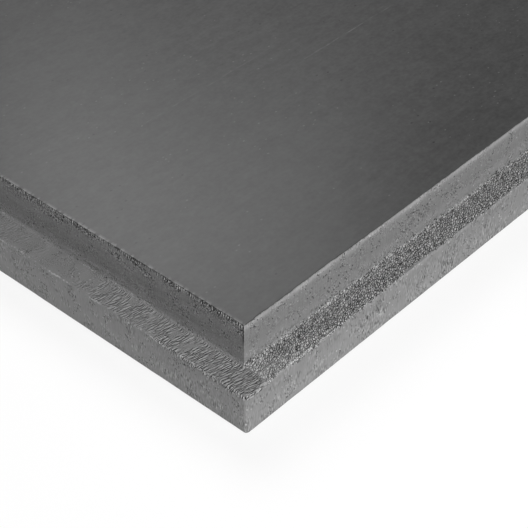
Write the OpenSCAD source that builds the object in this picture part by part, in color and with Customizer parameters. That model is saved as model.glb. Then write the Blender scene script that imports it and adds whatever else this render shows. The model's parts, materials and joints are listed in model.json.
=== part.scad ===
// Rigid foam insulation board with a half-lapped edge on all four sides.
//
// The board lies flat. +X runs along its length, +Y across its width and +Z up
// through its thickness, with the origin under the middle of the whole board.
// Two neighbouring edges, at -X and -Y, keep their lower half as a lip. The two
// opposite edges, at +X and +Y, keep their upper half, so that each board laps
// over the lip of the next one and no straight gap runs through the layer.

/* [Board] */

// Length that one board covers once it is laid, without its overhanging lip
cover_length = 1250; // [600:10:3000]

// Width that one board covers once it is laid, without its overhanging lip
cover_width = 600; // [300:10:1250]

// Thickness over both skins
thickness = 50; // [30:5:200]

/* [Lapped edge] */

// How far one half of the edge stands out past the other half
lap_depth = 15; // [10:1:30]

// Gap left between the lips of two laid boards, so that their skins stay flush
lap_play = 1.5; // [0.5:0.1:4]

/* [Cutter marks] */

// Radius that the rounded cutter leaves in the inner corner of each rebate
cove_radius = 1.5; // [0.5:0.1:4]

// Radius of the eased outer edges
arris_radius = 0.6; // [0.2:0.1:2]

/* [Hidden] */

// Segments of a full turn on the small radii
$fn = 48;

// How far a cutting shape reaches past the face that it cuts
overcut = 1;

// Colour of the foam
foam_grey = [0.42, 0.42, 0.42];

// Size of the whole board, with the lip that stands out on either side
overall_length = cover_length + lap_depth;
overall_width = cover_width + lap_depth;

// Height of the lower lip's top face, and of the upper lip's underside
lower_lip_top = (thickness - lap_play) / 2;
upper_lip_under = (thickness + lap_play) / 2;

// The radii, held to what the lip has room for
lip_thickness = lower_lip_top;
cove_r = min(cove_radius, lap_depth / 3, lip_thickness / 3);
arris_r = min(arris_radius, lap_depth / 3, lip_thickness / 3);

// What is left between a square corner at the origin and a round one of radius
// r, for a corner whose faces run along +X and +Y. It reaches past the two
// faces by the overcut, so it trims an outer corner, and fills an inner one.
module corner_filler(r, past) {
    difference() {
        translate([-past, -past]) square(r + past);
        translate([r, r]) circle(r);
    }
}

// Rounds the outer corner at a place, where its faces run along +X and +Y of a
// frame turned by the given angle.
module trim_outer_corner(place, turn) {
    translate(place) rotate(turn) corner_filler(arris_r, overcut);
}

// Fills the inner corner at a place in the same way.
module fill_inner_corner(place, turn) {
    translate(place) rotate(turn) corner_filler(cove_r, overcut);
}

// The stepped outline that the cutters leave across the board: the lower lip
// at the left, the upper lip at the right, over the given covering size.
module lapped_section(cover) {
    reach = cover + lap_depth;
    difference() {
        union() {
            square([cover, lower_lip_top]);
            translate([lap_depth, 0]) square([cover - lap_depth, thickness]);
            translate([lap_depth, upper_lip_under])
                square([cover, thickness - upper_lip_under]);
            fill_inner_corner([lap_depth, lower_lip_top], 90);
            fill_inner_corner([cover, upper_lip_under], -90);
        }
        // Lower half, from the left: underside, lip and underside again
        trim_outer_corner([0, 0], 0);
        trim_outer_corner([0, lower_lip_top], -90);
        trim_outer_corner([cover, 0], 90);
        // Upper half: top of the shoulder, then both corners of the lip
        trim_outer_corner([lap_depth, thickness], -90);
        trim_outer_corner([reach, thickness], 180);
        trim_outer_corner([reach, upper_lip_under], 90);
    }
}

// A section that is drawn in X and Z, run along Y over the whole width.
module section_along_width() {
    translate([0, overall_width + overcut, 0])
        rotate([90, 0, 0])
            linear_extrude(overall_width + 2 * overcut) lapped_section(cover_length);
}

// A section that is drawn in Y and Z, run along X over the whole length.
module section_along_length() {
    translate([-overcut, 0, 0])
        rotate([90, 0, 90])
            linear_extrude(overall_length + 2 * overcut) lapped_section(cover_width);
}

// The board is what both passes of the edge cutter leave: each rebate runs out
// at both ends, so the lips meet square at the corners.
module insulation_board() {
    color(foam_grey)
        translate([-overall_length / 2, -overall_width / 2, 0])
            intersection() {
                section_along_width();
                section_along_length();
            }
}

insulation_board();
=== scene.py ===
"""Looks of a half-lapped foam insulation board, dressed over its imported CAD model.

The board is one piece of extruded polystyrene foam. Its two skins come smooth
from the die, and its edges are milled: clean on the upright faces, and torn
open on the flats of the rebates. The CAD node is replaced by one closed mesh of
the same size, whose corners are eased and whose torn flats have real relief.

All lengths are in millimetres until the mesh is made. The millimetre frame has
its zero at the outer, lower corner where the two lower lips meet.
"""

import json
import logging
import math
from dataclasses import dataclass, field, replace
from enum import Enum
from typing import Mapping, Sequence

import bpy
import numpy as np
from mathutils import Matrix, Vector


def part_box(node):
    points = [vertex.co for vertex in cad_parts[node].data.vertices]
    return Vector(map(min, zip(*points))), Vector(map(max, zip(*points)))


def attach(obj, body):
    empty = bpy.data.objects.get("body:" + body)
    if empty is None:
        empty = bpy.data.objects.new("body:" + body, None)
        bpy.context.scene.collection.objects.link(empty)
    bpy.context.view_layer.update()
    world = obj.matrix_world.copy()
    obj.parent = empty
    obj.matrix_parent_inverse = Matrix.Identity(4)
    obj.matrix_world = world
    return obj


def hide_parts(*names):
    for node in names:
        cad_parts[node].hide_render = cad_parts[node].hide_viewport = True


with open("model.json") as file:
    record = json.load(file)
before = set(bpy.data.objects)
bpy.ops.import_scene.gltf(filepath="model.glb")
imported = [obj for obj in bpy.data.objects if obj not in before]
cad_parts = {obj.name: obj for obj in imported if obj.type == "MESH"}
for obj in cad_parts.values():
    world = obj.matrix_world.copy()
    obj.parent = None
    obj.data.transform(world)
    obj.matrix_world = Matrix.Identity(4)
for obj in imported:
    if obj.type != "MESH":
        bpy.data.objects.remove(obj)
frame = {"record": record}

LOG = logging.getLogger("board")
METRES_PER_MM = 0.001
X, Y, Z = 0, 1, 2
# Points nearer to a level than this lie on it
TOUCH = 1e-6
WHITE = "#ffffff"
# Setting of a node that maps one range onto another without a kink
SMOOTH = {"interpolation_type": "SMOOTHSTEP"}

# The hash that gives each cell of a noise its value
WORD = 2**32
SEED_FACTOR = 2654435761
AXIS_FACTORS = (73856093, 19349663, 83492791)
MIXERS = ((15, 2246822519), (13, 3266489917))
LAST_SHIFT = 16

Array = np.ndarray
Socket = bpy.types.NodeSocket


def linear(hex_colour: str) -> tuple[float, float, float, float]:
    """Turns an sRGB hex colour into linear red, green, blue and alpha.

    Args:
        hex_colour: The colour, such as "#7a7a7a".

    Returns:
        Linear components, with an alpha of 1.
    """
    parts = [int(hex_colour[i : i + 2], 16) / 255 for i in (1, 3, 5)]
    red, green, blue = (
        part / 12.92 if part <= 0.04045 else ((part + 0.055) / 1.055) ** 2.4 for part in parts
    )
    return red, green, blue, 1.0


def per_metre(size_mm: float) -> float:
    """Pattern scale that gives one repeat for each size_mm, in coordinates of metres."""
    return 1.0 / (size_mm * METRES_PER_MM)


def added(name: str, data: bpy.types.ID) -> bpy.types.Object:
    """Adds an object to the scene.

    Args:
        name: The object's name.
        data: The mesh, lamp or camera that it shows.

    Returns:
        The object.
    """
    thing = bpy.data.objects.new(name, data)
    bpy.context.scene.collection.objects.link(thing)
    return thing


# -------------------------------------------------------------------- patterns


def lattice(cells: Array, seed: int) -> Array:
    """Gives every whole-number cell its own value, the same in every run.

    Args:
        cells: Whole numbers, one row for each cell.
        seed: Picks one of many sets of values.

    Returns:
        One value from 0 to 1 for each row.
    """
    word_end = np.uint64(WORD - 1)
    mixed = np.full(len(cells), seed * SEED_FACTOR % WORD, np.uint64)
    for column, axis_factor in zip(cells.T, AXIS_FACTORS):
        mixed ^= column.astype(np.int64).astype(np.uint64) * np.uint64(axis_factor)
        mixed &= word_end
        for shift, factor in MIXERS:
            mixed = (mixed ^ (mixed >> np.uint64(shift))) * np.uint64(factor) & word_end
    return (mixed ^ (mixed >> np.uint64(LAST_SHIFT))).astype(float) / WORD


def smooth_noise(places: Array, size: Sequence[float], seed: int) -> Array:
    """Soft random swell over space.

    Args:
        places: Points in millimetres, one row each.
        size: Size of a swell along each axis, in millimetres.
        seed: Picks one of many swells.

    Returns:
        One value from -1 to 1 for each point.
    """
    scaled = places / np.asarray(size, float)
    low = np.floor(scaled)
    part = scaled - low
    part = part * part * (3 - 2 * part)
    total = np.zeros(len(places))
    for corner in np.ndindex(*(2,) * places.shape[1]):
        offset = np.array(corner)
        share = np.prod(np.where(offset, part, 1 - part), axis=1)
        total += share * lattice((low + offset).astype(np.int64), seed)
    return total * 2 - 1


def swells(places: Array, *layers: tuple[float, Sequence[float], int]) -> Array:
    """Sum of soft random swells, each given as its weight, its size and its seed."""
    return sum(weight * smooth_noise(places, size, seed) for weight, size, seed in layers)


def crumbs(places: Array, size: Sequence[float], seed: int) -> tuple[Array, Array]:
    """Scatters crumbs over a flat, one in each cell.

    Args:
        places: Points in the flat, in millimetres.
        size: Size of a crumb along each of the flat's axes, in millimetres.
        seed: Picks one of many scatters.

    Returns:
        For each point, the distance to its crumb's middle, as a share of a
        crumb, and that crumb's own height from 0 to 1.
    """
    scaled = places / np.asarray(size, float)
    home = np.floor(scaled).astype(np.int64)
    nearest = np.full(len(places), np.inf)
    lift = np.zeros(len(places))
    for step in np.ndindex(3, 3):
        cell = home + np.array(step) - 1
        middle = cell + np.stack([lattice(cell, seed), lattice(cell, seed + 1)], axis=1)
        distance = np.linalg.norm(scaled - middle, axis=1)
        closer = distance < nearest
        lift = np.where(closer, lattice(cell, seed + 2), lift)
        nearest = np.where(closer, distance, nearest)
    return nearest, lift


def ramp(values: Array, low: float, high: float) -> Array:
    """Rises smoothly from 0 at low to 1 at high, or falls where high is the lesser."""
    share = np.clip((values - low) / (high - low), 0, 1)
    return share * share * (3 - 2 * share)


def touching(values: Array, level: float) -> Array:
    """Where values lie on a level."""
    return np.abs(values - level) < TOUCH


# ----------------------------------------------------------------- board sizes


@dataclass(frozen=True)
class BoardSize:
    """Sizes of the board in millimetres, all worked out from the frame."""

    length: float
    width: float
    thickness: float
    lap: float
    lower_lip_top: float
    upper_lip_under: float

    @classmethod
    def from_frame(cls, node: str, record: Mapping[str, object]) -> "BoardSize":
        """Reads the sizes from a CAD node's box and the record's mounts.

        Args:
            node: Name of the board's CAD node.
            record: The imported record.

        Returns:
            The board's sizes.
        """
        low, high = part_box(node)
        mounts = {mount["name"]: mount["pos_m"] for mount in record["mounts"]}
        lower, upper = mounts["lower_lip_length"], mounts["upper_lip_length"]
        metres = (*(high - low), 2 * (lower[Y] - low.y), lower[Z], upper[Z])
        return cls(*(round(size / METRES_PER_MM, 3) for size in metres))

    @property
    def reach(self) -> tuple[float, float]:
        """Length and width over both lips."""
        return self.length, self.width

    @property
    def cover(self) -> tuple[float, float]:
        """Length and width without the overhanging lips."""
        return self.length - self.lap, self.width - self.lap


@dataclass(frozen=True)
class Spacing:
    """Distances between the mesh's points. Pairs are for the long and the short side."""

    # How far from the lips' corner an edge is laid finely
    fine_until: tuple[float, float] = (252.0, 200.0)
    fine: tuple[float, float] = (0.38, 0.32)
    # Across the lips, by the axis that the places lie along
    across: tuple[float, float] = (0.60, 0.38)
    across_coarse: float = 2.2
    coarse: float = 6.0
    # Along an edge with no fine stretch
    plain: float = 12.0
    # Length of the change of spacing after a fine stretch, of the growth to a
    # coarse spacing, and of the narrowing at the far end
    change: float = 8.0
    growth: float = 40.0
    narrowing: float = 30.0
    # Rows nearer than this to the ends of an upright, and to those of a lip's
    # face, keep each second place, and the others keep each fourth
    upright_end: float = 4.0
    face_end: float = 4.5
    # Rows up to this far below the short side's upper arris keep all their places
    comb_end: float = 4.4


# ------------------------------------------------------------- laying the mesh


class Surface(Enum):
    """How a face of the board was made, in the order of its materials."""

    SKIN = 0
    MILLED = 1
    SAWN = 2
    CRUMBLED = 3
    COMBED = 4


@dataclass(frozen=True)
class Flat:
    """A flat of the board, and the axes that rows of points are laid along."""

    surface: Surface
    normal: int
    outward: int
    level: float
    along: int
    across: int

    def points(self, across: float, along: Array) -> Array:
        """Points of one row.

        Args:
            across: Place of the row.
            along: Places of the points in the row.

        Returns:
            The points, one row each.
        """
        points = np.empty((len(along), 3))
        points[:, self.normal] = self.level
        points[:, self.across] = across
        points[:, self.along] = along
        return points

    @property
    def turned(self) -> bool:
        """True if a face laid along, then across, would show its back."""
        facing = np.cross(np.eye(3)[self.along], np.eye(3)[self.across])[self.normal]
        return facing * self.outward < 0


Row = tuple[float, Array]
Face = tuple[int, ...]
# Places of rows in a flat's fine stretch, and in its coarse one
Rows = tuple[Array, Array]


@dataclass
class MeshBook:
    """Points and faces of a closed skin, gathered flat by flat."""

    points: list[Array] = field(default_factory=list)
    faces: list[Face] = field(default_factory=list)
    surfaces: list[int] = field(default_factory=list)
    count: int = 0

    def lay(self, flat: Flat, rows: Sequence[Row]) -> None:
        """Covers a flat between rows of points.

        Rows with the same number of points are joined by quads, and others by
        triangles, so that the spacing may change from row to row.

        Args:
            flat: The flat that is covered.
            rows: Place of each row across the flat, and its points along it.
        """
        starts = []
        for across, along in rows:
            starts.append(self.count)
            self.points.append(flat.points(across, along))
            self.count += len(along)
        upwards = rows[1][0] > rows[0][0]
        for number, (start, after) in enumerate(zip(starts, starts[1:])):
            here, there = rows[number][1], rows[number + 1][1]
            if len(here) == len(there):
                pairs = range(len(here) - 1)
                strip = [(start + i, start + i + 1, after + i + 1, after + i) for i in pairs]
            else:
                strip = self.zipped(start, here, after, there)
            if flat.turned == upwards:
                strip = [face[::-1] for face in strip]
            self.faces += strip
            self.surfaces += [flat.surface.value] * len(strip)

    @staticmethod
    def zipped(start: int, here: Array, after: int, there: Array) -> list[Face]:
        """Joins two rows of unlike spacing by triangles.

        Args:
            start: Number of the first point in this row.
            here: Places along this row.
            after: Number of the first point in the next row.
            there: Places along the next row.

        Returns:
            The triangles, each as three point numbers.
        """
        steps = []
        for side, row in enumerate((here, there)):
            steps += [(share, side) for share in (row[1:] - row[0]) / (row[-1] - row[0])]
        faces = []
        for _, side in sorted(steps):
            step = (start, start + 1, after) if side == 0 else (start, after + 1, after)
            faces.append(step)
            start, after = start + (side == 0), after + (side == 1)
        return faces

    def welded(self) -> tuple[Array, list[Face]]:
        """Joins points that fall in one place, to a thousandth of a millimetre.

        Returns:
            The points, and the faces in their numbers.
        """
        every = np.concatenate(self.points)
        keys = np.round(every * 1000).astype(np.int64)
        _, first, number = np.unique(keys, axis=0, return_index=True, return_inverse=True)
        number = number.ravel()
        return every[first], [tuple(int(number[i]) for i in face) for face in self.faces]


def spaced(*stops: tuple[float, float]) -> Array:
    """Places whose spacing changes gradually.

    Args:
        *stops: Places, each with the spacing wanted there, in rising order.

    Returns:
        Places from the first stop to the last, both included.
    """
    ends, spacing = np.array(stops).T
    samples = np.linspace(ends[0], ends[-1], 4001)
    density = 1 / np.interp(samples, ends, spacing)
    steps = np.concatenate([[0], np.cumsum((density[1:] + density[:-1]) / 2 * np.diff(samples))])
    count = max(1, round(steps[-1]))
    return np.interp(np.linspace(0, steps[-1], count + 1), steps, samples)


def joined(*runs: Array) -> Array:
    """Runs of places end to end, with each shared end once."""
    return np.concatenate([runs[0]] + [run[1:] for run in runs[1:]])


def thinned(places: Array, keep_each: int, keep_first: int = 4) -> Array:
    """Every so many-th place, with the last one and the first few kept."""
    number = np.arange(len(places))
    return places[(number % keep_each == 0) | (number < keep_first) | (number == number[-1])]


def rescaled(places: Array, low: float, high: float) -> Array:
    """Places moved to run from low to high."""
    return low + (places - places[0]) * (high - low) / (places[-1] - places[0])


@dataclass(frozen=True)
class Run:
    """Places along one edge of the board, stretch by stretch from the lips' corner.

    whole covers the fine, the changing and the coarse stretch in one, for an edge
    that has no fine stretch.
    """

    corner: Array
    fine: Array
    change: Array
    coarse: Array
    overhang: Array
    whole: Array


@dataclass
class SquareBoard:
    """The board's mesh before its edges are eased, laid flat by flat."""

    size: BoardSize
    spacing: Spacing
    # Height of the strip below a lip's edge that is torn with the flat above it
    torn_strip: float = 4.0
    # Inset of each ring of faces round a skin, and which of the edge's places it keeps
    insets: tuple[float, ...] = (0.0, 0.3, 0.7, 1.3, 2.4, 4.4, 8.0, 14.0)
    keeps: tuple[int, ...] = (1, 1, 1, 1, 2, 4, 6, 10)
    # Inset of a skin's plain middle, and the size of its faces
    middle_inset: float = 26.0
    middle_face: float = 30.0

    def __post_init__(self) -> None:
        """Works out the places that neighbouring flats share."""
        lip, under = self.size.lower_lip_top, self.size.upper_lip_under
        self.book = MeshBook()
        self.runs = [self.run_along(axis) for axis in (X, Y)]
        self.rebate = self.across_rebate(self.spacing.across_coarse)
        self.lower = self.up_wall(0, lip)
        self.gap = spaced((lip, 0.35), (under, 0.5)), np.array([lip, (lip + under) / 2, under])
        self.upper = self.up_wall(under, self.size.thickness)

    def across_rebate(self, spacing: float) -> Array:
        """Places across a rebate's flat, from its lip's edge to the upright."""
        lap, edge = self.size.lap, min(spacing, 0.3)
        return spaced((0, edge), (1.5, edge * 1.2), (2.5, spacing), (lap - 2, spacing), (lap, 0.35))

    def up_wall(self, low: float, high: float) -> Rows:
        """Places up an upright face, closer together at both of its ends.

        Args:
            low: Height of the face's foot.
            high: Height of its head.

        Returns:
            The places in its fine stretch, and in its coarse one.
        """
        stops = (low, 0.3), (low + 2.5, 0.6), (low + 5, 1.6), (high - 6, 1.6), (high - 4, 0.55)
        insets = np.array([0, 0.3, 0.7, 1.6])
        coarse = np.concatenate([low + insets, [(low + high) / 2], high - insets[::-1]])
        return spaced(*stops, (high, 0.3)), coarse

    def run_along(self, axis: int) -> Run:
        """Works out the places along the edges that run along one axis.

        Args:
            axis: The axis.

        Returns:
            The places, stretch by stretch.
        """
        lap, cover, by = self.size.lap, self.size.cover[axis], self.spacing
        until, fine = by.fine_until[axis], by.fine[axis]
        change, end, last = until + by.change, cover - by.narrowing, (cover, 1.0)
        grown = change + by.growth
        return Run(
            corner=self.across_rebate(by.across[axis]),
            fine=spaced((lap, fine), (until, fine * 1.25)),
            change=spaced((until, 1.5), (change, 3.0)),
            coarse=spaced((change, 3.0), (grown, by.coarse), (end, by.coarse), last),
            overhang=spaced(last, (cover + lap / 2, 4.0), (cover + lap, 0.4)),
            whole=spaced(
                (lap, 1.0), (lap + by.growth, by.plain), (cover - by.growth, by.plain), last
            ),
        )

    def build(self) -> MeshBook:
        """Lays every flat.

        Returns:
            The book of points and faces.
        """
        size = self.size
        along_x, along_y = self.runs
        near = Flat(Surface.COMBED, Z, 1, size.lower_lip_top, X, Y)
        self.book.lay(near, [(y, along_x.corner) for y in along_y.corner])
        far = Flat(Surface.COMBED, Z, -1, size.upper_lip_under, X, Y)
        self.book.lay(far, [(y, along_x.overhang) for y in along_y.overhang])
        for along, inward, tear in ((X, Y, Surface.CRUMBLED), (Y, X, Surface.COMBED)):
            self.lay_near_side(along, inward, tear)
            self.lay_far_side(along, inward, tear)
        self.lay_skins()
        return self.book

    def lay_near_side(self, along: int, inward: int, tear: Surface) -> None:
        """Lays a side with a lower lip: the lip's flat, the upright and the lip's face.

        Args:
            along: The axis that the side runs along.
            inward: The axis across it.
            tear: How the cutter left the lip's flat.
        """
        size, run, by = self.size, self.runs[along], self.spacing
        lip, top = size.lower_lip_top, size.thickness
        places = self.runs[inward].corner
        flat = Flat(tear, Z, 1, lip, along, inward)
        self.lay_stretches(flat, (places, self.rebate), [1] * len(places))

        wall = Flat(Surface.MILLED, inward, -1, size.lap, along, Z)
        self.lay_stretches(wall, self.gap, [1] + [2] * (len(self.gap[0]) - 1))
        keeps = [2 if min(z - lip, top - z) < by.upright_end else 4 for z in self.upper[0]]
        if along == Y:
            # This side's upper arris is combed, so its points stay close there
            keeps = [1 if top - z < by.comb_end else keep for z, keep in zip(self.upper[0], keeps)]
        self.lay_stretches(wall, self.upper, keeps)
        self.book.lay(wall, [(z, run.overhang) for z in self.upper[1]])

        fascia = Flat(Surface.SAWN, inward, -1, 0.0, along, Z)
        keeps = [2 if min(z, lip - z) < by.face_end else 4 for z in self.lower[0][:-1]] + [1]
        rows = list(zip(self.lower[0], keeps))
        split = int(np.searchsorted(self.lower[0], lip - self.torn_strip))
        for surface, stretch, part in (
            (Surface.SAWN, run.fine, rows[: split + 1]),
            (Surface.SAWN, run.corner, rows[: split + 1]),
            (tear, run.fine, rows[split:]),
            (Surface.COMBED, run.corner, rows[split:]),
        ):
            face = replace(fascia, surface=surface)
            self.book.lay(face, [(z, thinned(stretch, keep)) for z, keep in part])
        self.lay_coarse(fascia, self.lower)

    def lay_stretches(self, flat: Flat, rows: Rows, keeps: Sequence[int]) -> None:
        """Lays a flat along one edge, finely, then coarsely.

        Args:
            flat: The flat, whose rows run along the edge.
            rows: Places of its rows.
            keeps: For each fine row, which of its points it keeps, as every
                so many-th.
        """
        fine = self.runs[flat.along].fine
        self.book.lay(flat, [(at, thinned(fine, keep)) for at, keep in zip(rows[0], keeps)])
        self.lay_coarse(flat, rows)

    def lay_coarse(self, flat: Flat, rows: Rows) -> None:
        """Lays a flat's change of spacing and its coarse stretch.

        Args:
            flat: The flat, whose rows run along the edge.
            rows: Places of its rows.
        """
        fine_rows, coarse_rows = rows
        run = self.runs[flat.along]
        sideways = replace(flat, along=flat.across, across=flat.along)
        stages = [fine_rows, thinned(fine_rows, 2)] + [coarse_rows] * (len(run.change) - 2)
        self.book.lay(sideways, list(zip(run.change, stages)))
        self.book.lay(flat, [(at, run.coarse) for at in coarse_rows])

    def lay_far_side(self, along: int, inward: int, tear: Surface) -> None:
        """Lays a side with an upper lip: the lip's face, the upright and the flat above it.

        Args:
            along: The axis that the side runs along.
            inward: The axis across it.
            tear: How the cutter left the lip's flat.
        """
        size, run = self.size, self.runs[along]
        fascia = Flat(Surface.SAWN, inward, 1, size.reach[inward], along, Z)
        self.book.lay(fascia, [(z, joined(run.whole, run.overhang)) for z in self.upper[1]])
        wall = Flat(Surface.MILLED, inward, 1, size.cover[inward], along, Z)
        self.book.lay(wall, [(z, run.whole) for z in self.gap[1]])
        self.book.lay(wall, [(z, joined(self.rebate, run.whole)) for z in self.lower[1]])
        beneath = Flat(tear, Z, -1, size.upper_lip_under, along, inward)
        self.book.lay(beneath, [(place, run.whole) for place in self.runs[inward].overhang])

    def lay_skins(self) -> None:
        """Lays the top and the bottom skin inside the edges that are there already."""
        top_near, top_far, low_near, low_far = {}, {}, {}, {}
        for axis, keep in ((X, 2), (Y, 1)):
            run = self.runs[axis]
            rest = joined(run.change, run.coarse)
            top_near[axis] = joined(thinned(run.fine, keep), rest, run.overhang)
            top_far[axis] = joined(run.whole, run.overhang)
            low_near[axis] = joined(thinned(run.corner, 2), thinned(run.fine, 2), rest)
            low_far[axis] = joined(self.rebate, run.whole)
        self.lay_skin(Flat(Surface.SKIN, Z, 1, self.size.thickness, X, Y), top_near, top_far)
        self.lay_skin(Flat(Surface.SKIN, Z, -1, 0.0, X, Y), low_near, low_far)

    def lay_skin(self, flat: Flat, near: Mapping[int, Array], far: Mapping[int, Array]) -> None:
        """Lays one skin as rings that widen inwards, round a plain middle.

        Args:
            flat: The skin.
            near: Places along its edges at low X and low Y, by the axis they run along.
            far: Places along the two edges across from those.
        """
        low, high = ({axis: near[axis][end] for axis in (X, Y)} for end in (0, -1))
        inset, middle = self.middle_inset, {}
        for axis in (X, Y):
            ends = low[axis] + inset, high[axis] - inset
            faces = round((high[axis] - low[axis]) / self.middle_face)
            middle[axis] = np.linspace(*ends, faces + 1)
        for axis, across in ((X, Y), (Y, X)):
            for places, edge, way in ((near[axis], low[across], 1), (far[axis], high[across], -1)):
                rows = []
                for gap, keep in zip(self.insets, self.keeps):
                    ring = rescaled(thinned(places, keep), low[axis] + gap, high[axis] - gap)
                    rows.append((edge + way * gap, ring))
                rows.append((edge + way * inset, middle[axis]))
                self.book.lay(replace(flat, along=axis, across=across), rows)
        self.book.lay(flat, [(place, middle[X]) for place in middle[Y]])


# ---------------------------------------------------------------- easing edges


@dataclass(frozen=True)
class Ease:
    """How far wear and the cutters rounded an edge, and how unevenly."""

    radius: float
    # Share of the radius by which it wanders along the edge, and over what length
    wander: float
    swell: float = 8.0


@dataclass(frozen=True)
class Corner:
    """An edge of the board that the cutter left round, outer or inner.

    The edge runs along one axis, over a span of it. The two flats that meet
    there are given as their axis, their level and the way that the other flat
    runs from them. The round lies between them, so one rule serves for an outer
    edge, which it trims, and for an inner one, which it fills.
    """

    run: int
    span: tuple[float, float]
    ease: Ease
    first: tuple[int, float, int]
    second: tuple[int, float, int]

    def radii(self, along: Array) -> Array:
        """Radius at places along the edge, which wear has made uneven.

        Args:
            along: Places along the edge.

        Returns:
            The radius at each place.
        """
        # Each edge wanders in its own way
        axis, level, _ = self.first
        seed = 100 + 17 * axis + int(level)
        ease = self.ease
        layers = (0.7, (ease.swell,), seed), (0.5, (ease.swell / 3.2,), seed + 1)
        uneven = swells(along[:, None], *layers)
        return ease.radius * np.clip(1 + ease.wander * uneven, 0.25, 2.5)

    def shift(self, points: Array) -> Array:
        """How far each point moves onto the round.

        An upright edge also draws in the flats above and below it, less and less
        towards the round's centre.

        Args:
            points: Points on the square-edged board.

        Returns:
            One step for each point.
        """
        (axis_a, level_a, way_a), (axis_b, level_b, way_b) = self.first, self.second
        a = (points[:, axis_a] - level_a) * way_a
        b = (points[:, axis_b] - level_b) * way_b
        along = points[:, self.run]
        radius = self.radii(along)
        start, stop = self.span
        inside = (along >= start - TOUCH) & (along <= stop + TOUCH) & (a > -TOUCH) & (b > -TOUCH)
        deepest = radius if self.run == Z else TOUCH
        steps = np.zeros_like(points)
        for reach, lift, axis_reach, way_reach, axis_lift, way_lift in (
            (a, b, axis_a, way_a, axis_b, way_b),
            (b, a, axis_b, way_b, axis_a, way_a),
        ):
            near = inside & (lift < deepest) & (reach < radius)
            near &= (reach > lift + TOUCH) if axis_reach == axis_b else (reach > lift - TOUCH)
            here = radius[near]
            share = 1 - lift[near] / here
            turned = (here - reach[near]) / share
            angle = math.pi / 4 * turned / here
            steps[near, axis_reach] += way_reach * share * (turned - here * np.sin(angle))
            steps[near, axis_lift] += way_lift * share * here * (1 - np.cos(angle))
        return steps


@dataclass(frozen=True)
class Rounding:
    """Every edge of the board, with what it was left like.

    Pairs are for the long and the short side.
    """

    foot: Ease = Ease(0.35, 0.3)
    lips: tuple[Ease, Ease] = (Ease(0.9, 0.9), Ease(0.63, 0.9))
    coves: tuple[Ease, Ease] = (Ease(1.2, 0.2, 20.0), Ease(2.6, 0.2, 20.0))
    near_arris: Ease = Ease(0.3, 1.0, 5.0)
    far_arris: Ease = Ease(0.3, 1.0)
    lower_upright: Ease = Ease(2.4, 0.3)
    upper_upright: Ease = Ease(0.35, 0.4)

    def corners(self, size: BoardSize) -> list[Corner]:
        """Places every edge.

        Args:
            size: The board's sizes.

        Returns:
            The edges.
        """
        lap, top = size.lap, size.thickness
        lip, under = size.lower_lip_top, size.upper_lip_under
        edges = []
        for run, out in ((X, Y), (Y, X)):
            reach, cover = size.reach[out], size.cover[out]
            lower, upper = (0.0, size.cover[run]), (lap, size.reach[run])
            both = (lap, size.cover[run])
            for span, ease, first, second in (
                (lower, self.foot, (out, 0.0, 1), (Z, 0.0, 1)),
                (lower, self.lips[run], (out, 0.0, 1), (Z, lip, -1)),
                (both, self.coves[run], (out, lap, -1), (Z, lip, 1)),
                (upper, self.near_arris, (out, lap, 1), (Z, top, -1)),
                (upper, self.far_arris, (out, reach, -1), (Z, top, -1)),
                (upper, self.lips[run], (out, reach, -1), (Z, under, 1)),
                (both, self.coves[run], (out, cover, 1), (Z, under, -1)),
                (lower, self.foot, (out, cover, -1), (Z, 0.0, 1)),
            ):
                edges.append(Corner(run, span, ease, first, second))
        for span, ease, near, far in (
            ((0.0, lip), self.lower_upright, 0.0, size.cover),
            ((under, top), self.upper_upright, lap, size.reach),
        ):
            for first in ((X, near, 1), (X, far[X], -1)):
                for second in ((Y, near, 1), (Y, far[Y], -1)):
                    edges.append(Corner(Z, span, ease, first, second))
        return edges


# ------------------------------------------------------------------------ wear


@dataclass
class Wear:
    """What cutting and handling left at each point of the board.

    height is the relief along the normal and step a move of its own, both in
    millimetres. tone runs from -1, as dark as a gap, to 1, as pale as a burr, and also carries
    painted light and shade.
    torn runs from 0, on foam that was cut clean, to 1, where it broke open.
    """

    height: Array
    step: Array
    tone: Array
    torn: Array

    @classmethod
    def none(cls, count: int) -> "Wear":
        """No wear at all, at so many points."""
        return cls(np.zeros(count), np.zeros((count, 3)), np.zeros(count), np.zeros(count))


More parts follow.
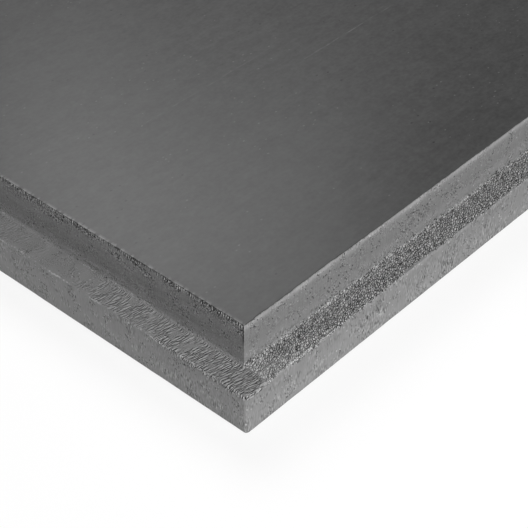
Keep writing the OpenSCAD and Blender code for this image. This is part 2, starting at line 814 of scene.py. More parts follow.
@dataclass(frozen=True)
class EdgeWear:
    """The wear of the board's edges.

    Distances along an edge are from the lips' corner, and each noise is a size
    in millimetres with a seed of its own.
    """

    size: BoardSize
    spacing: Spacing
    # How far past its fine stretch an edge keeps its relief
    overrun: float = 4.0
    # How much of the tear is left past the short side's fine stretch
    calm: float = 0.3
    # Size of a crumb of the long side's tear along X and Y, the height of its
    # dome, and how far crumbs differ in height
    crumb: tuple[float, float] = (1.9, 1.7)
    crumb_dome: float = 0.25
    crumb_lift: float = 0.35
    # Size of a streak of the short side's tear along X and Y, and its height
    streak: tuple[float, float] = (3.0, 0.65)
    streak_height: float = 0.09
    # Depth of the pale band below the upper skin, and of the skin itself
    band_depth: float = 6.4
    skin_depth: float = 1.2
    # Height of the long pale line that the cutter's rim drew on the short side
    line_height: float = 31.0
    # Height and inset of the notched strip along the short side's upper arris,
    # and the distance from one notch to the next
    comb_height: float = 4.5
    comb_inset: float = 1.6
    tooth: float = 1.45

    def at(self, square: Array) -> Wear:
        """What the cutters and handling left at each point.

        Args:
            square: Points of the square-edged board.

        Returns:
            The relief, the tone and the tear at each point.
        """
        size, overrun = self.size, self.overrun
        x, y, z = square.T
        lap, lip = size.lap, size.lower_lip_top
        under_lip = touching(z, size.upper_lip_under)
        out_y = np.where(under_lip, size.width - y, y)
        out_x = np.where(under_lip, size.length - x, x)
        on_flat = (touching(z, lip) | under_lip) & (np.minimum(out_x, out_y) <= lap)
        # The tear runs on over the lip's edge, as a distance below zero
        down_y = (y < TOUCH) & (z < lip)
        down_x = (x < TOUCH) & (z < lip) & ~down_y
        out_y = np.where(down_y, z - lip, out_y)
        out_x = np.where(down_x, z - lip, out_x)
        fine_x, fine_y = self.spacing.fine_until
        close = (x < fine_x + overrun) & (y < fine_y + overrun) & ~under_lip
        long_side = (on_flat | down_y) & (out_x > lap)
        corner = down_y & (x <= lap)
        short_side = ((on_flat | down_x) & ~long_side) | corner

        wear = Wear.none(len(square))
        for zone, tear, out, calm in (
            (long_side, self.crumbled, out_y, 1.0),
            (short_side, self.combed, np.where(corner, out_y, out_x), self.calm),
        ):
            rise, tone, torn, swell = tear(square[zone], out[zone])
            near = close[zone]
            plain = ramp(out[zone], 0.5, 2.0) * np.where(under_lip[zone], 1.0, calm)
            wear.height[zone] = np.where(near, rise, 0) + swell
            wear.tone[zone] = np.where(near, tone, 0)
            wear.torn[zone] = np.where(near, torn, plain)
        upright = ~on_flat & (z > TOUCH) & (z < size.thickness - TOUCH)
        wear.height += np.where(upright, swells(square, (0.14, (45, 45, 18), 11)) - 0.12, 0)
        self.shade_lip_faces(square, wear)
        self.wear_and_light_long_wall(square, wear)
        self.wear_and_light_short_wall(square, wear)
        self.comb(square, wear)
        return wear

    def crumbled(self, points: Array, out: Array) -> tuple[Array, Array, Array, Array]:
        """Crumbly tear of the long edges' rebates.

        Args:
            points: Points of the flat and of the face below it.
            out: Distance of each from the lip's edge, below zero down the face.

        Returns:
            Height of the crumbs, their tone, how far the foam is torn, and the
            swell that the crumbs sit on.
        """
        plan = points[:, :2]
        along = plan[:, X]
        nearest, lift = crumbs(plan, self.crumb, 23)
        dome = np.clip(1 - (nearest / 0.8) ** 2, 0, 1)
        rise = self.crumb_dome * dome + self.crumb_lift * (lift - 0.65)
        swell = swells(plan, (0.3, (9, 6), 31)) - 0.3
        # The tear starts below the lip's edge at the corner, and inside it further on
        edge = -1.7 + 3.5 * ramp(along, 50, 170)
        edge += swells(plan, (1.8, (13, 60), 33), (1.2, (3.4, 60), 34))
        torn = ramp(out, edge - 0.8, edge + 0.5)
        # Beside the upright the crumbs are packed, and near the corner dust lies on them
        foot = ramp(self.size.lap - out, 4.0, 0.0)
        on_flat = ramp(out, -1.5, 0.0)
        dusty = ramp(along + 1.5 * out, 54, 36) * on_flat
        torn *= 1 - np.maximum(0.3 * foot, 0.45 * dusty)
        tone = 0.12 * (1 - torn) * ramp(out, -0.5, 0.5) + 0.1 * foot + 0.2 * dusty
        tone += 0.22 * ramp(along, 70, 25) * smooth_noise(plan, (7, 5), 35) * on_flat
        # The lip's edge is rubbed pale, in a wider strip near the corner
        rubbed = 0.14 * ramp(out, 3.5, 0.5) + 0.12 * ramp(along, 90, 50) * ramp(out, 9, 3)
        tone += rubbed * ramp(out, -3.0, -0.5)
        return rise * torn * (out >= 0), tone, torn, swell * ramp(out, 0.0, 2.0)

    def combed(self, points: Array, out: Array) -> tuple[Array, Array, Array, Array]:
        """Combed tear of the short edges' rebates, whose streaks run along X.

        Args:
            points: Points of the flat and of the face below it.
            out: Distance of each from the lip's edge, below zero down the face.

        Returns:
            Height of the streaks, their tone, how far the foam is torn, and the
            swell that the streaks sit on.
        """
        plan = points[:, :2]
        along = plan[:, Y]
        bend = swells(plan, (2.0, (14, 9), 41), (0.5, (5, 4), 42))
        streak = smooth_noise(np.stack([plan[:, X], along + bend], axis=1), self.streak, 43)
        # The foam is torn in patches, thickly near the corner and thinly further on
        cover = swells(plan, (1.0, (9, 8), 45), (0.6, (4, 4), 47))
        thick = ramp(along, 125, 95)
        patch = ramp(cover + 0.85 * thick, -0.3, 0.3) * (0.3 + 0.5 * thick)
        patch *= 1 + 0.3 * ramp(along, 70, 50) + swells(plan, (0.45, (8, 4.5), 44))
        patch = np.maximum(patch, ramp(self.size.lap + 3 - along, 0, 5))
        edge = 0.2 - 3.0 * ramp(along, 75, 35)
        edge += swells(plan, (0.8, (60, 6), 48), (0.5, (60, 2), 49))
        torn = patch * ramp(self.size.lap - out, 0.0, 1.2) * ramp(out, edge - 0.4, edge + 0.4)
        # A pale, broken line of burrs along the lip's edge
        waver = swells(plan, (0.8, (60, 5), 50), (0.5, (60, 1.2), 53))
        broken = swells(plan, (1.0, (60, 8), 51), (1.0, (60, 0.9), 52))
        burr = ramp(np.abs(out + 0.2 - waver), 0.75, 0.2) * ramp(along, 5, 10)
        burr *= ramp(broken, -0.3, 0.5)
        tone = 0.85 * burr + 0.06 * ramp(along, 130, 105) * ramp(out, 0, 1)
        swell = (swells(plan, (0.22, (11, 7), 46)) - 0.2) * ramp(out, 0.0, 2.0)
        rise = self.streak_height * streak * torn * (out >= 0)
        return rise, tone, torn * (1 - burr), swell

    def shade_lip_faces(self, square: Array, wear: Wear) -> None:
        """Pales each lower lip's face towards the skin below as painted light from the floor, and
        marks it in patches.

        Args:
            square: Points of the square-edged board.
            wear: What was left at each point, which this adds to.
        """
        x, y, z = square.T
        below = z <= self.size.lower_lip_top - TOUCH
        long_face, short_face = (y < TOUCH) & below, (x < TOUCH) & below
        # Painted light: each face paler towards the floor, and the short side's face paler overall
        pale = 0.17 * ramp(z, 22, 4) + 0.02 - 0.06 * ramp(x, 120, 200)
        wear.tone += np.where(long_face | short_face, pale, 0) + 0.05 * short_face
        # The saw left its marks in patches on the long side, but few at its corner
        marked = ramp(smooth_noise(square, (16, 16, 30), 68), -0.1, 0.5)
        marked *= (0.2 + 0.8 * ramp(x, 30, 80)) * ramp(z, 19.5, 17.0)
        # The short side was scraped near its corner
        scraped = ramp(smooth_noise(square, (30, 11, 8), 70), -0.1, 0.4) * ramp(y, 95, 30)
        wear.torn += marked * long_face + 0.5 * scraped * short_face

    def wear_and_light_long_wall(self, square: Array, wear: Wear) -> None:
        """Pales the long side's upright under its skin and towards its foot, and nicks its arris.

        The foam is paler in a band just under its skin. Towards the foot the upright is
        paler as painted light, and paler still in an uneven strip just above the flat.

        Args:
            square: Points of the square-edged board.
            wear: What was left at each point, which this adds to.
        """
        size = self.size
        x, y, z = square.T
        along = square[:, :1]
        up, down, inward = z - size.lower_lip_top, size.thickness - z, y - size.lap
        on_top = touching(down, 0)
        wall = touching(inward, 0) & (x > size.lap - TOUCH) & (up > -TOUCH)
        under_skin_band = ramp(down, self.band_depth, 0.9) ** 2
        under_skin_band *= 1 + swells(square, (0.35, (11, 11, 3), 61))
        # The skin's own thickness shows as a dark line along the cut
        skin = ramp(down, self.skin_depth, 0.1)
        # Painted light: paler towards the foot, where the flat below puts it in shade
        foot = ramp(z, size.thickness - 13, size.lower_lip_top + 4)
        foot_strip = ramp(up, 2.5, 0.0) * (1 + swells(square, (1.4, (2.2, 2.2, 30), 69)))
        pale = 0.42 * under_skin_band * (1 - 0.7 * skin) - 0.12 * skin + 0.22 * foot + 0.12 * foot_strip
        wear.tone += np.where(wall, pale, 0)
        cling = swells(along, (1.0, (6,), 66), (1.0, (2.0,), 67))
        wear.torn += np.where(wall, ramp(up, 2.0 + 1.6 * cling, 0.8 + 1.2 * cling), 0)
        # Both upper arrises of the lips' corner are painted a little pale, as a painted highlight
        inset = np.minimum(np.abs(inward), np.abs(x - size.lap))
        wear.tone += np.where(on_top, 0.08 * ramp(inset, 1.4, 0.0), 0)
        # Handling nicked the long side's arris, most of all near the corner
        nick = ramp(smooth_noise(along, (6,), 62), 0.0, 0.7)
        nick += 0.7 * ramp(smooth_noise(along, (2.2,), 63), 0.2, 0.8)
        nick *= ramp(down, 2.2, 0.3) * ramp(inward, 1.8, 0.3) * (0.22 + 0.18 * ramp(x, 90, 45))
        wear.step[:, Y] += np.where(wall | (on_top & (inward < 2.0)), nick, 0)

    def wear_and_light_short_wall(self, square: Array, wear: Wear) -> None:
        """Shades the short side's upright with painted light and shade, and tears its denser foam
        in patches.

        Args:
            square: Points of the square-edged board.
            wear: What was left at each point, which this adds to.
        """
        size = self.size
        x, y, z = square.T
        down = size.thickness - z
        wall = touching(x, size.lap) & (y > size.lap + TOUCH) & (z > size.lower_lip_top - TOUCH)
        # Painted light and shade: paler towards the foot and darker overall; the cutter's rim drew
        # a long pale line
        line = ramp(np.abs(z - self.line_height + 0.05 * (y - 80)), 1.5, 0.2) * ramp(y, 65, 110)
        # A fine split runs down from the upper corner
        split = ramp(y - size.lap, 1.5, 0.7) * ramp(down, 14, 9)
        tone = 0.4 * ramp(z, 36, 26) - 0.1 + 0.12 * line - 0.9 * split
        wear.tone += np.where(wall, tone, 0)
        patch = swells(square, (1.2, (9, 9, 4), 64), (0.6, (4, 4, 2), 65))
        patch = ramp(patch + 1.6 * ramp(down, 12.0, 1.0), 0.8, 1.6)
        wear.torn += np.where(wall, 0.12 + patch * (1 - 0.5 * ramp(y, 140, 190)), 0)

    def comb(self, square: Array, wear: Wear) -> None:
        """Notches the short edge's upper arris, where the cutter tore it.

        Args:
            square: Points of the square-edged board.
            wear: What was left at each point, which this adds to.
        """
        size, until = self.size, self.spacing.fine_until[Y]
        x, y, z = square.T
        on_wall = touching(x, size.lap) & (z > size.thickness - self.comb_height)
        on_top = touching(z, size.thickness) & (x - size.lap < self.comb_inset)
        near = (on_wall | on_top) & (y >= size.lap) & (y < until + self.overrun)
        along, depth, inset = y[near], size.thickness - z[near], x[near] - size.lap
        places = along[:, None]
        # The teeth left even notches near the corner, and ragged ones further on
        ragged = ramp(along, 50, 75)
        drift = smooth_noise(places, (5.0,), 51) * (0.6 + 2.6 * ragged)
        wave = np.cos(2 * math.pi * along / self.tooth + drift)
        tick = ramp(wave + (0.15 + 0.5 * ragged) * smooth_noise(places, (1.1,), 54), -0.3, 0.5)
        reach = 2.4 + 1.2 * smooth_noise(places, (1.6,), 52)
        strength = 1.15 + 0.3 * smooth_noise(places, (22,), 53) - 0.6 * ragged
        fade = ramp(depth, reach, reach * 0.5) * ramp(depth, -0.6, 0.6)
        fade *= ramp(along, until, until - 10)
        notch = tick * strength * fade * ramp(inset, 0.5, 0.0)
        wear.step[near, X] = 0.7 * notch
        burr = ramp(smooth_noise(places, (1.1,), 55), -0.6, 0.2) * ramp(depth, 0.9, 0.1)
        burr *= ramp(np.abs(inset - 0.6), 1.0, 0.3)
        ridge = (1 - tick) * fade * ramp(inset, 0.3, 0.0)
        pale = (0.5 + 0.15 * ragged) * burr + (0.75 - 0.3 * ragged) * ridge
        # The notches are darkened as painted shade
        wear.tone[near] += pale - 2.2 * notch


# ------------------------------------------------------------------- the board


@dataclass
class LappedBoard:
    """The foam board: its closed mesh, its relief and its dressing."""

    size: BoardSize
    body: str
    node: str
    slot: str
    name: str = "milled_foam_board"
    spacing: Spacing = Spacing()
    rounding: Rounding = Rounding()

    def build(self, finishes: Sequence[bpy.types.Material]) -> None:
        """Makes the board's mesh and dresses it.

        Args:
            finishes: Materials in the order of Surface.
        """
        book = SquareBoard(self.size, self.spacing).build()
        square, faces = book.welded()
        eased = square + sum(corner.shift(square) for corner in self.rounding.corners(self.size))
        mesh = bpy.data.meshes.new(self.name)
        mesh.from_pydata(eased.tolist(), [], faces)
        mesh.polygons.foreach_set("material_index", book.surfaces)
        mesh.polygons.foreach_set("use_smooth", [True] * len(faces))
        mesh.update()

        wear = EdgeWear(self.size, self.spacing).at(square)
        normals = np.empty(len(square) * 3)
        mesh.vertex_normals.foreach_get("vector", normals)
        placed = eased + normals.reshape(-1, 3) * wear.height[:, None] + wear.step
        placed = np.clip(placed, 0, (self.size.length, self.size.width, self.size.thickness))
        placed -= np.array([self.size.length / 2, self.size.width / 2, 0])
        mesh.vertices.foreach_set("co", (placed * METRES_PER_MM).ravel())
        for name, values in (("tone", np.clip(wear.tone, -1, 1)), ("torn", wear.torn)):
            mesh.attributes.new(name, "FLOAT", "POINT").data.foreach_set("value", values)
        for finish in finishes:
            mesh.materials.append(finish)
        mesh.update()

        board = added(self.name, mesh)
        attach(board, self.body)
        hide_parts(self.node)
        triangles = sum(len(face) - 2 for face in faces)
        LOG.info("%s: %d points, %d triangles", self.name, len(square), triangles)


# -------------------------------------------------------------------- finishes


@dataclass(frozen=True)
class Weave:
    """The nodes of a material or of the world, and the patterns that finishes share."""

    owner: bpy.types.Material | bpy.types.World

    @classmethod
    def start(cls, name: str) -> "Weave":
        """Starts a material with a Principled shader.

        Args:
            name: The material's name.

        Returns:
            Its nodes.
        """
        material = bpy.data.materials.new(name)
        material.use_nodes = True
        return cls(material)

    @property
    def tree(self) -> bpy.types.NodeTree:
        """The nodes."""
        return self.owner.node_tree

    @property
    def shader(self) -> bpy.types.Node:
        """The material's Principled shader."""
        return self.tree.nodes["Principled BSDF"]

    def fill(self, node: bpy.types.Node, inputs: Mapping[str | int, object]) -> None:
        """Gives a node its constants and links.

        Args:
            node: The node.
            inputs: A constant or a link for each input, by its name or place.
        """
        for name, value in inputs.items():
            if isinstance(value, Socket):
                self.tree.links.new(value, node.inputs[name])
            else:
                node.inputs[name].default_value = value

    def add(self, kind: str, *values: object, out: int | str = 0, **settings: object) -> Socket:
        """Adds a node, with its settings, constants and links.

        Args:
            kind: The node's type, without the "ShaderNode" that all types start with.
            *values: A constant or a link for each of the first inputs, or else one
                mapping of inputs by name or place.
            out: The output that is wanted, by name or place.
            **settings: Properties of the node itself, such as operation="MULTIPLY".

        Returns:
            That output of the new node.
        """
        node = self.tree.nodes.new("ShaderNode" + kind)
        for name, setting in settings.items():
            setattr(node, name, setting)
        named = values and isinstance(values[0], Mapping)
        self.fill(node, values[0] if named else dict(enumerate(values)))
        return node.outputs[out]

    def cells(
        self,
        size_mm: Sequence[float],
        sway_mm: float = 0.0,
        sway_size_mm: float = 6.0,
        turn_deg: float = 0.0,
    ) -> Socket:
        """Place on the object, counted in cells of a size along X, Y and Z.

        Args:
            size_mm: Size of a cell along each axis.
            sway_mm: How far the cells stray from straight rows.
            sway_size_mm: Length over which they stray.
            turn_deg: How far the cells are turned about Z.

        Returns:
            The place.
        """
        place = self.add("TexCoord", out="Object")
        if sway_mm:
            stray = {"Vector": place, "Scale": per_metre(sway_size_mm), "Detail": 1.0}
            stray = self.add("TexNoise", stray, out="Color")
            # The noise strays from its middle by about a quarter
            reach = [4 * sway_mm * METRES_PER_MM] * 3
            place = self.add("VectorMath", stray, reach, place, operation="MULTIPLY_ADD")
        if turn_deg:
            turn = {"Vector": place, "Angle": math.radians(-turn_deg)}
            place = self.add("VectorRotate", turn, rotation_type="Z_AXIS")
        scale = [per_metre(size) for size in size_mm]
        return self.add("VectorMath", place, scale, operation="MULTIPLY")

    def noise(self, cells: Socket, detail: float = 0.0) -> Socket:
        """Soft noise over cells, from about -1 to 1 and mostly near 0."""
        noise = self.add("TexNoise", {"Vector": cells, "Scale": 1.0, "Detail": detail}, out="Fac")
        return self.add("Math", noise, 3.4, -1.7, operation="MULTIPLY_ADD")

    def summed(self, *parts: tuple[object, float]) -> Socket:
        """Adds up values.

        Args:
            *parts: Each value, and its weight.

        Returns:
            The sum.
        """
        total: object = 0.0
        for value, weight in parts:
            total = self.add("Math", value, weight, total, operation="MULTIPLY_ADD")
        return total

    def seams(
        self, cells: Socket, aside: Sequence[float], *reaches: tuple[float, float]
    ) -> list[Socket]:
        """Finds the seams between grains that fill the cells, and lines beside the seams.

        Args:
            cells: The place, counted in cells.
            aside: How far the lines lie from the seams, in cells.
            *reaches: How far a seam, then a line, reaches from its middle, and how
                far it is whole, in cells.

        Returns:
            A value of its own for each grain, 1 in the seams, and 1 in the lines.
        """
        grain = self.add("TexVoronoi", {"Vector": cells, "Scale": 1.0}, out="Color")
        found = [self.add("SeparateColor", grain)]
        beside = self.add("VectorMath", cells, [*aside], operation="ADD")
        for place, (reach, whole) in zip((cells, beside), reaches):
            border = {"Vector": place, "Scale": 1.0}
            border = self.add("TexVoronoi", border, out="Distance", feature="DISTANCE_TO_EDGE")
            found.append(self.add("MapRange", border, reach, whole, **SMOOTH))
        return found

    def pits(
        self,
        size_mm: Sequence[float],
        radius: float,
        chosen: float,
        patch_mm: float,
        shift: float = 0.0,
    ) -> Socket:
        """Scattered pits, gathered in patches.

        Args:
            size_mm: Distance between places where a pit may be, along each axis.
            radius: Radius of a pit, as a share of that distance.
            chosen: Share of the places that have one where pits are thick.
            patch_mm: Size of a patch of pits.
            shift: How far all pits are moved, as a share of that distance.

        Returns:
            1 inside a pit, and 0 outside.
        """
        cells = self.cells(size_mm)
        if shift:
            cells = self.add("VectorMath", cells, [shift, -shift, shift], operation="ADD")
        spot = self.add("TexVoronoi", {"Vector": cells, "Scale": 1.0}, out="Distance")
        inside = self.add("MapRange", spot, radius, radius * 0.5, **SMOOTH)
        crowd = self.noise(self.cells([patch_mm] * 3))
        crowd = self.add("MapRange", crowd, -0.1, 0.5, 0.0, chosen, **SMOOTH)
        picked = self.add("SeparateColor", spot.node.outputs["Color"])
        picked = self.add("Math", picked, crowd, operation="LESS_THAN")
        return self.add("Math", inside, picked, operation="MULTIPLY")


@dataclass(frozen=True)
class Scratch:
    """A long fine scratch on the upper skin, placed from the board's middle."""

    middle_mm: tuple[float, float]
    length_mm: float
    turn_deg: float
    light: float
    width_mm: float = 1.2
    # A level between the two skins
    above_mm: float = 30.0

    def drawn(self, weave: Weave) -> Socket:
        """Draws the scratch, which shows in broken pieces.

        Args:
            weave: The material being made.

        Returns:
            1 in the scratch, and 0 outside.
        """
        half = (self.length_mm / 2, self.width_mm / 2, self.above_mm)
        placed = {
            "Vector": weave.cells([1 / METRES_PER_MM] * 3, 0.35, 14.0),
            "Location": [place * METRES_PER_MM for place in (*self.middle_mm, 0)],
            "Rotation": [0, 0, math.radians(self.turn_deg)],
            "Scale": [size * METRES_PER_MM for size in half],
        }
        local = weave.add("Mapping", placed, vector_type="TEXTURE")
        local = weave.add("VectorMath", local, operation="ABSOLUTE")
        apart = weave.add("SeparateXYZ", local).node.outputs
        broken = weave.noise(weave.cells([7.0, 7.0, 7.0]), 2.0)
        shown = weave.add("Math", apart[Z], 1.0, operation="GREATER_THAN")
        for value, low, high in ((apart[X], 1, 0.85), (apart[Y], 1, 0.3), (broken, -0.5, 0.7)):
            part = weave.add("MapRange", value, low, high, **SMOOTH)
            shown = weave.add("Math", shown, part, operation="MULTIPLY")
        return shown


@dataclass(frozen=True)
class Finish:
    """What every surface of the foam has."""

    name: str
    colour: str
    burr_and_light_colour: str
    roughness: float
    specular: float
    ior: float = 1.59

    def dressed(
        self, weave: Weave, colour: Socket, roughness: object, height: Socket
    ) -> bpy.types.Material:
        """Gives the shader its colour, its sheen and its relief.

        Args:
            weave: The material being made.
            colour: The surface's colour.
            roughness: Its roughness, the same everywhere or not.
            height: Its relief, in millimetres.

        Returns:
            The material.
        """
        surface = {
            "Base Color": colour,
            "Roughness": roughness,
            "Specular IOR Level": self.specular,
            "IOR": self.ior,
            "Normal": weave.add("Bump", {"Height": height, "Distance": METRES_PER_MM}),
        }
        weave.fill(weave.shader, surface)
        return weave.owner


@dataclass(frozen=True)
class ExtrudedSkin(Finish):
    """Polystyrene skin that the die pressed smooth: closed, dark, with a low sheen.

    The foam's cells are about 0.2 mm, too fine to show. Their print in the skin
    is drawn ten times as coarse.
    """

    name: str = "extruded_polystyrene_skin"
    colour: str = "#353535"
    burr_and_light_colour: str = "#7c7c7c"
    roughness: float = 0.3
    specular: float = 0.05
    # Scratches from the board that was slid over this one when they were stacked
    scratches: tuple[Scratch, ...] = (
        Scratch((-381.0, -160.8), 88.0, 0.3, 1.15),
        Scratch((-486.0, -139.0), 118.0, 0.6, 0.5),
    )

    def material(self) -> bpy.types.Material:
        """Makes the material.

        Returns:
            The material.
        """
        weave = Weave.start(self.name)
        # Cells stretched by the haul-off, so their print is long along the board
        cells = weave.noise(weave.cells([2.6, 1.9, 1.9]), 2.0)
        mottle = weave.noise(weave.cells([9.0, 6.0, 6.0]), 1.0)
        cloud = weave.noise(weave.cells([40.0, 22.0, 22.0]), 2.0)
        specks = weave.pits([4.5, 3.0, 3.0], 0.2, 0.35, 30.0)
        dents = weave.pits([7.0, 5.0, 5.0], 0.15, 0.3, 40.0)
        # Faint lines that the die drew along the board, some of them clearer
        drawn = weave.noise(weave.cells([900.0, 2.4, 20.0]), 1.0)
        light = weave.summed(
            (1.0, 1.0),
            (cells, 0.2),
            (mottle, 0.15),
            (cloud, 0.08),
            (drawn, 0.08),
            (specks, 1.1),
            (dents, -0.6),
            *((mark.drawn(weave), mark.light) for mark in self.scratches),
        )
        skin = {0: linear(self.colour)[:3], "Scale": light}
        skin = weave.add("VectorMath", skin, operation="SCALE")
        # Paler where tone is above zero: the comb's burrs, and the painted highlight along the
        # upper arrises
        burrs_and_highlight = weave.add("Attribute", out="Fac", attribute_name="tone")
        burrs_and_highlight = weave.add("Math", burrs_and_highlight, 0.0, operation="MAXIMUM")
        blend = {0: burrs_and_highlight, 6: skin, 7: linear(self.burr_and_light_colour)}
        colour = weave.add("Mix", blend, out=2, data_type="RGBA")
        rough = weave.summed((1.0, self.roughness), (cells, 0.02), (cloud, 0.01))
        height = weave.summed((cells, 0.008), (specks, 0.02), (dents, -0.03))
        return self.dressed(weave, colour, rough, height)


@dataclass(frozen=True)
class Pattern:
    """What a pattern does to a surface: a factor on its colour, and its height."""

    light: Socket
    height: Socket


@dataclass(frozen=True)
class MilledFoam(Finish):
    """Polystyrene foam milled across its cells: matt, pitted and finely scored.

    The score marks stand upright, as the cutter's teeth pass across the edge.
    Real cells are about 0.2 mm, so the marks and pits are drawn more than twice
    as coarse, to show.
    """

    name: str = "milled_polystyrene_foam"
    # Darker than the sawn and torn foam: the uprights get a shaded copy of the same foam's colour,
    # as painted shade
    colour: str = "#767676"
    burr_and_light_colour: str = "#b4b4b4"
    roughness: float = 0.88
    specular: float = 0.2
    gap_and_shade_colour: str = "#1c1c1c"
    # Size of a score mark across and upwards, in millimetres, and its strength
    score_mm: tuple[float, float] = (0.62, 0.9)
    score_light: float = 0.34
    # Size of a pit's cell across and upwards, in millimetres, and its strength
    pit_mm: tuple[float, float] = (1.2, 1.5)
    pit_light: float = -0.85
    burr_share: float = 0.4
    # How much stronger the marks are where the foam was torn
    torn_marks: float = 3.3
    # Strength of the long soft lines that a cutter's rim draws along the short side
    drag_light: float = 0.13

    def material(self) -> bpy.types.Material:
        """Makes the material."""
        weave = Weave.start(self.name)
        return self.finished(weave, self.cut(weave))

    def cut(self, weave: Weave) -> Pattern:
        """Score marks, with rows of pits and a few burrs, and worn patches between.

        Args:
            weave: The material being made.

        Returns:
            The pattern.
        """
        across, upwards = self.score_mm
        score = weave.noise(weave.cells([across, across, upwards]))
        hair = weave.noise(weave.cells([0.55, 0.55, 12.0]))
        cloud = weave.noise(weave.cells([9.0, 9.0, 6.0]), 2.0)
        # Most of the face is worn smooth, and the marks show in patches
        rough = weave.noise(weave.cells([7.0, 7.0, 5.0]))
        rough = weave.add("MapRange", rough, -0.25, 0.6, **SMOOTH)
        torn = weave.add("Attribute", out="Fac", attribute_name="torn")
        rough = weave.summed((1.0, 0.14), (rough, 1.0), (torn, self.torn_marks))
        marks = weave.add("Math", score, rough, operation="MULTIPLY")
        drag = weave.noise(weave.cells([0.3, 30.0, 1.7], 1.0, 40.0), 1.0)
        # Each pit is darkened as painted shade, with a pale rim beside it on one side as a painted
        # highlight
        across, upwards = self.pit_mm
        pit = ([across, across, upwards], 0.42, 0.44, 8.0)
        pits, highlight_rims = weave.pits(*pit), weave.pits(*pit, shift=-0.3)
        burrs = weave.pits([2.6, 2.6, 2.6], 0.26, self.burr_share, 16.0)
        light = weave.summed(
            (1.0, 1.0),
            (marks, self.score_light),
            (hair, 0.07),
            (drag, self.drag_light),
            (cloud, 0.05),
            (pits, self.pit_light),
            (highlight_rims, 0.5),
            (burrs, 0.75),
        )
        return Pattern(light, weave.summed((marks, 0.09), (pits, -0.4), (burrs, 0.15)))

    def finished(self, weave: Weave, pattern: Pattern) -> bpy.types.Material:
        """Colours and raises the foam, darker down its gaps and in painted shade, and paler on its
        burrs and in painted light.

        Args:
            weave: The material being made.
            pattern: The pattern that the foam has.

        Returns:
            The material.
        """
        tone = weave.add("Attribute", out="Fac", attribute_name="tone")
        colour = linear(self.colour)
        for way, end in ((-1.0, self.gap_and_shade_colour), (1.0, self.burr_and_light_colour)):
            share = weave.add("Math", tone, way, operation="MULTIPLY")
            share = weave.add("Math", share, 0.0, operation="MAXIMUM")
            blend = {0: share, 6: colour, 7: linear(end)}
            colour = weave.add("Mix", blend, out=2, data_type="RGBA")
        light = weave.add("Math", pattern.light, 0.1, operation="MAXIMUM")
        colour = weave.add("VectorMath", {0: colour, "Scale": light}, operation="SCALE")
        return self.dressed(weave, colour, self.roughness, pattern.height)


@dataclass(frozen=True)
class SawnFoam(MilledFoam):
    """Polystyrene foam that a saw cut: longer marks, finer pits and more burrs."""

    name: str = "sawn_polystyrene_foam"
    colour: str = "#818181"
    score_mm: tuple[float, float] = (0.5, 2.4)
    score_light: float = 0.4
    pit_mm: tuple[float, float] = (0.9, 1.9)
    pit_light: float = -0.6
    burr_share: float = 0.6
    torn_marks: float = 1.0
    drag_light: float = 0.0


@dataclass(frozen=True)
class TornFoam(SawnFoam):
    """Polystyrene foam that is cut clean in places and torn open in others."""

    # How much paler the torn foam is than the cut foam beside it
    torn_light: float = 1.0

    def material(self) -> bpy.types.Material:
        """Makes the material.

        Returns:
            The material.
        """
        weave = Weave.start(self.name)
        cut, torn = self.cut(weave), self.tear(weave)
        share = weave.add("Attribute", out="Fac", attribute_name="torn")
        paler = weave.add("Math", torn.light, self.torn_light, operation="MULTIPLY")
        mixed = []
        for first, second in ((cut.light, paler), (cut.height, torn.height)):
            step = weave.add("Math", second, first, operation="SUBTRACT")
            mixed.append(weave.add("Math", step, share, first, operation="MULTIPLY_ADD"))
        return self.finished(weave, Pattern(*mixed))

    def tear(self, weave: Weave) -> Pattern:
        """Pattern of the torn foam, which each kind of tear has its own of."""
        raise NotImplementedError


@dataclass(frozen=True)
class CrumbledFoam(TornFoam):
    """Foam that the cutter crumbled: loose grains of a millimetre or two, with dark gaps."""

    name: str = "crumbled_polystyrene_foam"
    torn_light: float = 1.22
    grain_mm: tuple[float, float, float] = (2.0, 1.0, 1.1)
    # The cutter's teeth draw the grains out as they pass
    turn_deg: float = 40.0

    def tear(self, weave: Weave) -> Pattern:
        """Grains, each painted light or dark as if by how it faces, with gaps as painted shade and
        pale crests as painted highlights.

        Args:
            weave: The material being made.

        Returns:
            The pattern.
        """
        cells = weave.cells(self.grain_mm, 0.3, 3.0, self.turn_deg)
        lot, gap, lit_crest = weave.seams(cells, (0.1, 0.3, 0.0), (0.24, 0.06), (0.2, 0.06))
        crumb = weave.noise(weave.cells([0.9, 0.45, 0.5], 0.2, 2.0, self.turn_deg))
        light = weave.summed((1.0, 1.72), (lot, 1.2), (gap, -2.6), (lit_crest, 1.0), (crumb, 0.7))
        light = weave.add("Math", light, 2.5, operation="MINIMUM")
        height = weave.summed((lot, 0.3), (gap, -0.5), (lit_crest, 0.3), (crumb, 0.3))
        return Pattern(light, height)


@dataclass(frozen=True)
class CombedFoam(TornFoam):
    """Foam that the cutter's teeth combed into slivers along X, with cracks between."""

    name: str = "combed_polystyrene_foam"
    torn_light: float = 1.17
    sliver_mm: tuple[float, float, float] = (6.5, 1.35, 3.0)
    turn_deg: float = -12.0

    def tear(self, weave: Weave) -> Pattern:
        """Slivers with a crack between as painted shade, and a pale lip on one side of each crack
        as a painted highlight.

        Args:
            weave: The material being made.

        Returns:
            The pattern.
        """
        cells = weave.cells(self.sliver_mm, 0.3, 9.0, self.turn_deg)
        lot, crack, lip = weave.seams(cells, (0.0, 0.28, 0.0), (0.2, 0.06), (0.18, 0.05))
        fibre = weave.noise(weave.cells([1.4, 0.42, 0.9], 0.3, 7.0, self.turn_deg))
        light = weave.summed((1.0, 1.05), (lot, 0.15), (crack, -1.0), (lip, 0.75), (fibre, 0.4))
        height = weave.summed((lot, 0.1), (crack, -0.4), (lip, 0.2), (fibre, 0.1))
        return Pattern(light, height)


# ---------------------------------------------------------------------- studio


